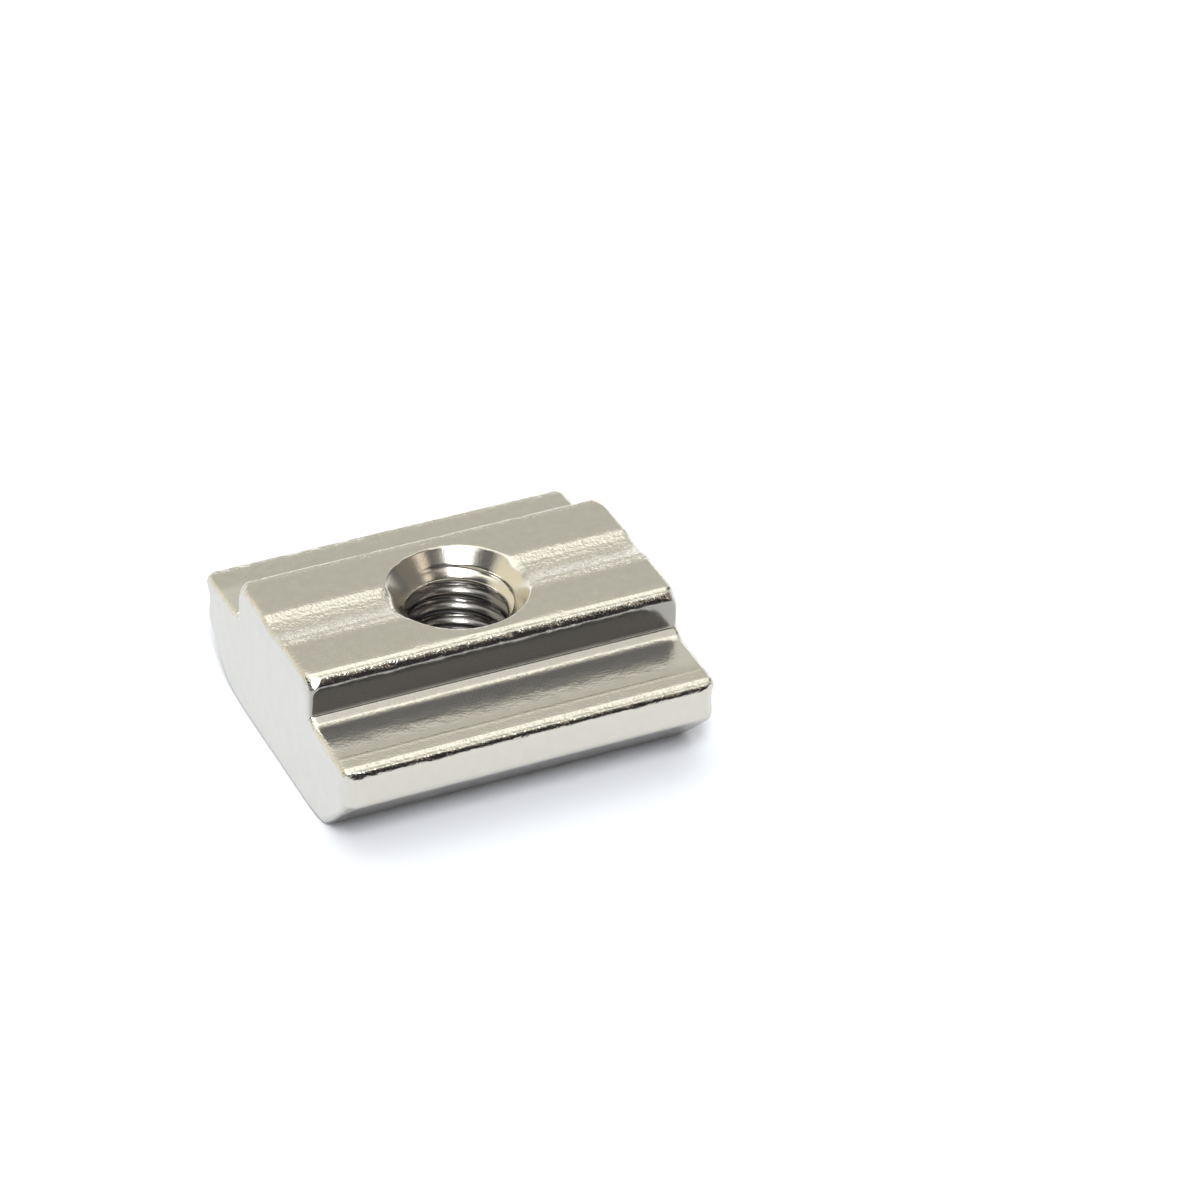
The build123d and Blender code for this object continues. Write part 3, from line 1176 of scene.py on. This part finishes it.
@dataclass(frozen=True)
class Studio:
    """A white table under a pale ceiling, with a darker room on the camera's side.

    The sky is rows of height in degrees, colour and strength. The panels are painted over
    it in order.
    """

    floor_colour: str = "#d8dbe2"
    floor_half: float = 1.0
    floor_lift: float = 0.035
    sky: tuple[tuple[float, str, float], ...] = (
        (-4.0, "#ffffff", 1.18),
        (9.0, "#ffffff", 1.3),
        (21.0, "#fffef6", 0.715),
        (42.0, "#fffef4", 0.705),
        (52.0, "#fffef6", 1.3),
        (66.0, "#fffef8", 1.85),
    )
    panels: tuple[Panel, ...] = (
        # the dark room on the camera's side, which the rolled edges mirror as black lines
        Panel(264.0, 84.0, 6.0, 50.0, 3.5, "#eeeeff", 0.028),
        # darker and lighter parts of the room and its ceiling, mirrored by cone and walls
        Panel(2.0, 20.0, 7.0, 36.0, 6.0, "#ffffff", 0.14),
        Panel(140.0, 32.0, 10.0, 44.0, 6.0, "#fff6de", 1.05),
        Panel(345.0, 30.0, 56.0, 79.0, 5.0, "#fffef8", 0.8),
        Panel(310.0, 38.0, 43.0, 57.0, 3.0, "#fff4ea", 0.12),
        Panel(188.0, 11.0, 40.0, 55.0, 2.5, "#ffffff", 0.1),
        # the lamp over the camera with its soft surround, which makes the glints
        Panel(242.0, 25.0, 43.0, 60.0, 2.5, "#ffffff", 2.2),
        Panel(248.0, 8.0, 43.0, 60.0, 3.0, "#ffffff", 52.0),
        # the bright far side of the table, and what stands to the right of the camera
        Panel(68.0, 28.0, -10.0, 14.0, 5.0, "#ffffff", 1.9),
        Panel(335.0, 23.0, 14.0, 44.0, 3.0, "#fff4e6", 0.24),
        Panel(314.0, 8.0, 28.0, 43.0, 3.0, "#fff0e0", 1.35),
    )

    def floor(self) -> None:
        """The table top: matt white, lifted a little so that it reads as white where unshaded."""
        half = self.floor_half
        corners = [(-half, -half, 0.0), (half, -half, 0.0), (half, half, 0.0), (-half, half, 0.0)]
        mesh = bpy.data.meshes.new("floor")
        mesh.from_pydata(corners, [], [(0, 1, 2, 3)])
        floor = bpy.data.objects.new("floor", mesh)
        bpy.context.scene.collection.objects.link(floor)
        material = bpy.data.materials.new("white_card")
        tree = clear_tree(material)
        rays = add_node(tree, "LightPath").outputs
        seen = rays["Is Camera Ray"]
        for kind in ("Is Glossy Ray", "Is Transmission Ray"):
            seen = add_node(tree, "Math", {"operation": "MAXIMUM"},
                            {0: seen, 1: rays[kind]}).outputs[0]
        lift = add_node(tree, "Math", {"operation": "MULTIPLY", 1: self.floor_lift},
                        {0: seen}).outputs[0]
        card = add_node(tree, "BsdfDiffuse", {"Color": linear(self.floor_colour)})
        glow = add_node(tree, "Emission", {"Color": (1.0, 1.0, 1.0, 1.0)}, {"Strength": lift})
        both = add_node(tree, "AddShader", None, {0: card.outputs[0], 1: glow.outputs[0]})
        add_node(tree, "OutputMaterial", None, {"Surface": both.outputs[0]})
        mesh.materials.append(material)

    def world(self) -> None:
        """The room: a sky that depends on height alone, painted over by each panel in turn.

        A panel's share of a direction is a smooth step in the cosine of its bearing from
        the panel's, times a smooth step up from its lower edge and one down at its upper
        edge, both in the sine of the height.
        """
        world = bpy.data.worlds.new("studio")
        tree = clear_tree(world)
        way = add_node(tree, "TexCoord").outputs["Generated"]
        height = add_node(tree, "SeparateXYZ", None, {0: way}).outputs["Z"]
        level = add_node(tree, "VectorMath", {"operation": "MULTIPLY", 1: (1.0, 1.0, 0.0)},
                         {0: way}).outputs[0]
        level = add_node(tree, "VectorMath", {"operation": "NORMALIZE"}, {0: level}).outputs[0]

        # coats of colour in order, each with the smooth steps (of what, from, to) that bound it
        coats = [
            ([(height, sine(below), sine(above))], colour, strength)
            for (below, _, _), (above, colour, strength) in itertools.pairwise(self.sky)
        ]
        for panel in self.panels:
            bearing = math.radians(panel.bearing)
            toward = (math.cos(bearing), math.sin(bearing), 0.0)
            aside = add_node(tree, "VectorMath", {"operation": "DOT_PRODUCT", 1: toward},
                             {0: level}).outputs[1]
            wide = math.cos(math.radians(panel.half_width + panel.fade))
            tight = math.cos(math.radians(max(panel.half_width - panel.fade, 0.0)))
            steps = [(aside, wide, tight)]
            for edge, fade in ((panel.low, panel.fade), (panel.high, -panel.fade)):
                steps.append((height, sine(edge - fade), sine(edge + fade)))
            coats.append((steps, panel.colour, panel.strength))

        shade = add_node(tree, "RGB").outputs[0]
        shade.default_value = linear(*self.sky[0][1:])
        for steps, colour, strength in coats:
            share = None
            for value, low, high in steps:
                step = add_node(tree, "MapRange", {
                    "interpolation_type": "SMOOTHSTEP", "From Min": low, "From Max": high,
                }, {"Value": value}).outputs[0]
                share = step if share is None else add_node(
                    tree, "Math", {"operation": "MULTIPLY"}, {0: share, 1: step}).outputs[0]
            shade = add_node(tree, "Mix", {"data_type": "RGBA", 7: linear(colour, strength)},
                             {0: share, 6: shade}).outputs[2]
        back = add_node(tree, "Background", None, {"Color": shade})
        add_node(tree, "OutputWorld", None, {"Surface": back.outputs[0]})
        bpy.context.scene.world = world


@dataclass(frozen=True)
class Camera:
    """A long lens above the table, seen from the nut's -X, -Y side.

    Places are in millimetres, and the aim is a point on the table, because the nut lies
    to the left of the view's middle.
    """

    aim: tuple[float, float, float] = (9.03, 5.16, 0.0)
    distance: float = 227.16
    bearing: float = 244.58
    height: float = 34.98
    roll: float = 1.417
    lens: float = 154.38
    sensor: float = 36.0

    def build(self) -> None:
        """Places the camera, looking at its aim from a distance and rolled about its own axis."""
        bearing, height = math.radians(self.bearing), math.radians(self.height)
        level = math.cos(height)
        back = Vector((math.cos(bearing) * level, math.sin(bearing) * level, math.sin(height)))
        data = bpy.data.cameras.new("camera")
        data.lens = self.lens
        data.sensor_width = self.sensor
        data.sensor_fit = "HORIZONTAL"
        data.clip_start, data.clip_end = 0.01, 10.0
        camera = bpy.data.objects.new("camera", data)
        bpy.context.scene.collection.objects.link(camera)
        turn = back.to_track_quat("Z", "Y").to_matrix().to_4x4()
        turn = turn @ Matrix.Rotation(math.radians(self.roll), 4, "Z")
        place = (Vector(self.aim) + back * self.distance) * MM
        camera.matrix_world = Matrix.Translation(place) @ turn
        bpy.context.scene.camera = camera


# ---------------------------------------------------------------- all together


def main() -> None:
    """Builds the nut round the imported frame, then the studio and the camera."""
    logging.basicConfig(level=logging.INFO, format="%(name)s: %(message)s")
    bpy.context.scene.view_settings.view_transform = "Standard"
    low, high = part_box(NODE)
    length, width, height = ((high - low) / MM)
    mounts = {mount["name"]: mount for mount in frame["record"]["mounts"]}
    crest = mounts["screw_thread"]["dims"]["r_mm"]
    section = Section(body_width=width, height=height)
    nut = SlotNut(length, section, TappedHole(crest=crest, top=height), Wear()).build([
        NickelPlate().material(), CutEndPlate().material(), HoleWall(top=height).material(),
    ])
    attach(nut, BODY)
    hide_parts(NODE)
    studio = Studio()
    studio.floor()
    studio.world()
    Camera().build()
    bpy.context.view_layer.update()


if __name__ == "__main__":
    main()
